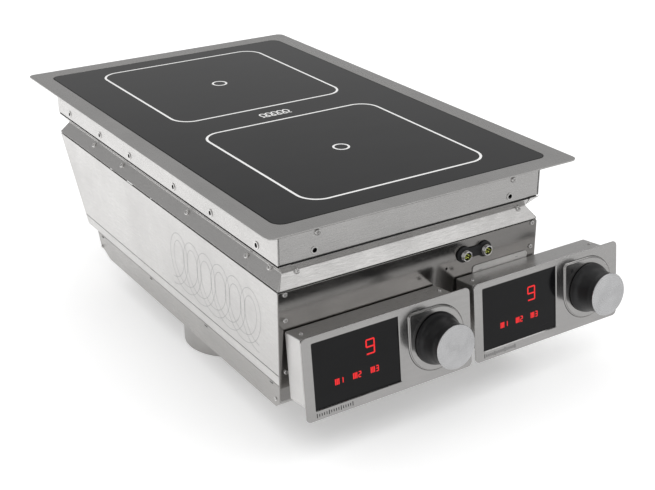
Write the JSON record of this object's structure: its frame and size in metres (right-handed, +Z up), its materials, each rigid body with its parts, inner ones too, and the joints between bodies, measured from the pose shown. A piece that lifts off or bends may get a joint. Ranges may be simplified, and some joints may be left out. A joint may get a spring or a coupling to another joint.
{
  "type": "induction cooktop",
  "caption": "Drop-in twin-zone induction cooktop with black glass, steel flange, stepped generator housing, air spigot and remote control modules with knobs.",
  "frame": {"origin": "centre of the worktop cut-out, in the plane of the worktop's surface, where the underside of the flange rests", "axes": "+Z up; -Y towards the cook, the side with the control modules; +X to the right of a cook who faces the controls"},
  "size_m": [0.4727, 0.6895, 0.2571],
  "materials": {
    "steel": "brushed stainless steel, satin",
    "black_plastic": "fine matte black",
    "aluminium": "satin, brushed on the knob caps",
    "circuit_board": "green lacquered board",
    "ferrite": "dull dark grey sintered ferrite",
    "copper_winding": "lacquered copper wire",
    "ceramic": "off-white ceramic",
    "black_glass": "polished black glass",
    "sealant": "matte black silicone",
    "mica": "pale pressed mica",
    "shaft_metal": "turned brass",
    "chrome": "nickel plated, bright"
  },
  "bodies": {
    "cooktop": {"air_spigot": "steel", "base_tray": "steel", "bottom_pan": "steel", "cable_gland": "black_plastic", "coil_tray": "aluminium", "fan_frame": "black_plastic", "fan_guard": "steel", "filter_board": "circuit_board", "filter_capacitor": "black_plastic", "filter_choke": "ferrite", "flange_frame": "steel", "front_coil": "copper_winding", "front_coil_carrier": "black_plastic", "front_ferrites": "ferrite", "front_heat_sink": "aluminium", "front_panel": "steel", "front_power_board": "circuit_board", "front_temperature_sensor": "ceramic", "glass_plate": "black_glass", "glass_seal": "sealant", "insulation_sheet": "mica", "label_plate": "steel", "left_display_board": "circuit_board", "left_display_window": "black_glass", "left_encoder": "black_plastic", "left_face_plate": "steel", "left_module_box": "steel", "left_side_panel": "steel", "left_socket": "chrome", "rear_coil": "copper_winding", "rear_coil_carrier": "black_plastic", "rear_ferrites": "ferrite", "rear_heat_sink": "aluminium", "rear_panel": "steel", "rear_power_board": "circuit_board", "rear_temperature_sensor": "ceramic", "right_display_board": "circuit_board", "right_display_window": "black_glass", "right_encoder": "black_plastic", "right_face_plate": "steel", "right_module_box": "steel", "right_side_panel": "steel", "right_socket": "chrome", "waist_cover": "steel", "waist_seal": "sealant", "skirt": "steel", "socket_plate": "black_plastic", "terminal_block": "black_plastic"},
    "left_knob_body": {"left_knob": "black_plastic", "left_knob_cap": "aluminium", "left_knob_shaft": "shaft_metal"},
    "right_knob_body": {"right_knob": "black_plastic", "right_knob_cap": "aluminium", "right_knob_shaft": "shaft_metal"},
    "fan_rotor": {"fan_impeller": "black_plastic"}
  },
  "joints": [
    {"name": "left_knob_turn", "type": "hinge", "parent": "cooktop", "child": "left_knob_body", "pos_m": [0.0024, -0.32999, -0.16145], "axis": [0, 0.9928, -0.1201], "range_deg": [-270, 0]},
    {"name": "right_knob_turn", "type": "hinge", "parent": "cooktop", "child": "right_knob_body", "pos_m": [0.2251, -0.32999, -0.16145], "axis": [0, 0.9928, -0.1201], "range_deg": [-270, 0]},
    {"name": "fan_spin", "type": "hinge", "parent": "cooktop", "child": "fan_rotor", "pos_m": [-0.098, -0.0496, -0.201], "axis": [0, 0, 1], "continuous": true}
  ]
}
